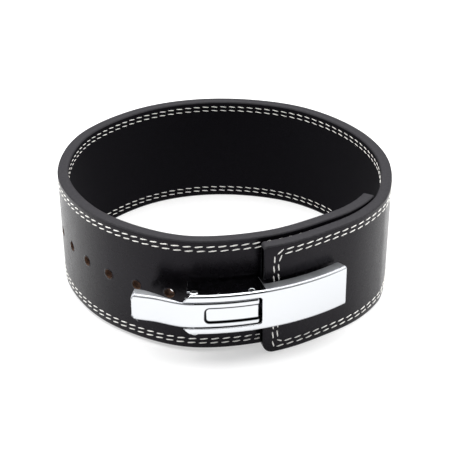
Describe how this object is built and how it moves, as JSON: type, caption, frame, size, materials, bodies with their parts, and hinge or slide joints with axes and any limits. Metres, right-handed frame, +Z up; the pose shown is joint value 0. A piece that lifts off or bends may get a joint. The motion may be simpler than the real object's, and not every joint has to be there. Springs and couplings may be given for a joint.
{
  "type": "weightlifting belt",
  "caption": "Thick stiff leather waist belt of even width, coiled shut, with a row of holes and a hinged metal lever buckle on its front.",
  "frame": {"origin": "on the floor under the middle of the belt's bounding box, standing on its lower edge", "axes": "+Z up across the leather's width, -Y out of the front where the buckle sits, +X towards the lever's grip end"},
  "size_m": [0.2894, 0.3184, 0.1032],
  "materials": {
    "black_leather": "satin black surface with burnished edges",
    "chrome_plate": "polished",
    "steel_pin": "turned"
  },
  "bodies": {
    "belt": {"strap": "black_leather", "base_plate": "chrome_plate", "hinge_pin": "steel_pin", "base_screw_1": "steel_pin", "base_screw_2": "steel_pin"},
    "lever": {"lever": "chrome_plate", "hook_pin": "steel_pin"},
    "hook": {"hook_plate": "chrome_plate"}
  },
  "joints": [
    {"name": "lever_hinge", "type": "hinge", "parent": "belt", "child": "lever", "pos_m": [-0.02901, -0.154, 0.0512], "axis": [0, 0, -1], "range_deg": [0, 100]},
    {"name": "hook_hinge", "type": "hinge", "parent": "lever", "child": "hook", "pos_m": [0.01581, -0.15102, 0.0512], "axis": [0, 0, 1], "range_deg": [0, 100]}
  ],
  "couplings": [
    {"joint": "hook_hinge", "follows": "lever_hinge", "ratio": 1}
  ]
}
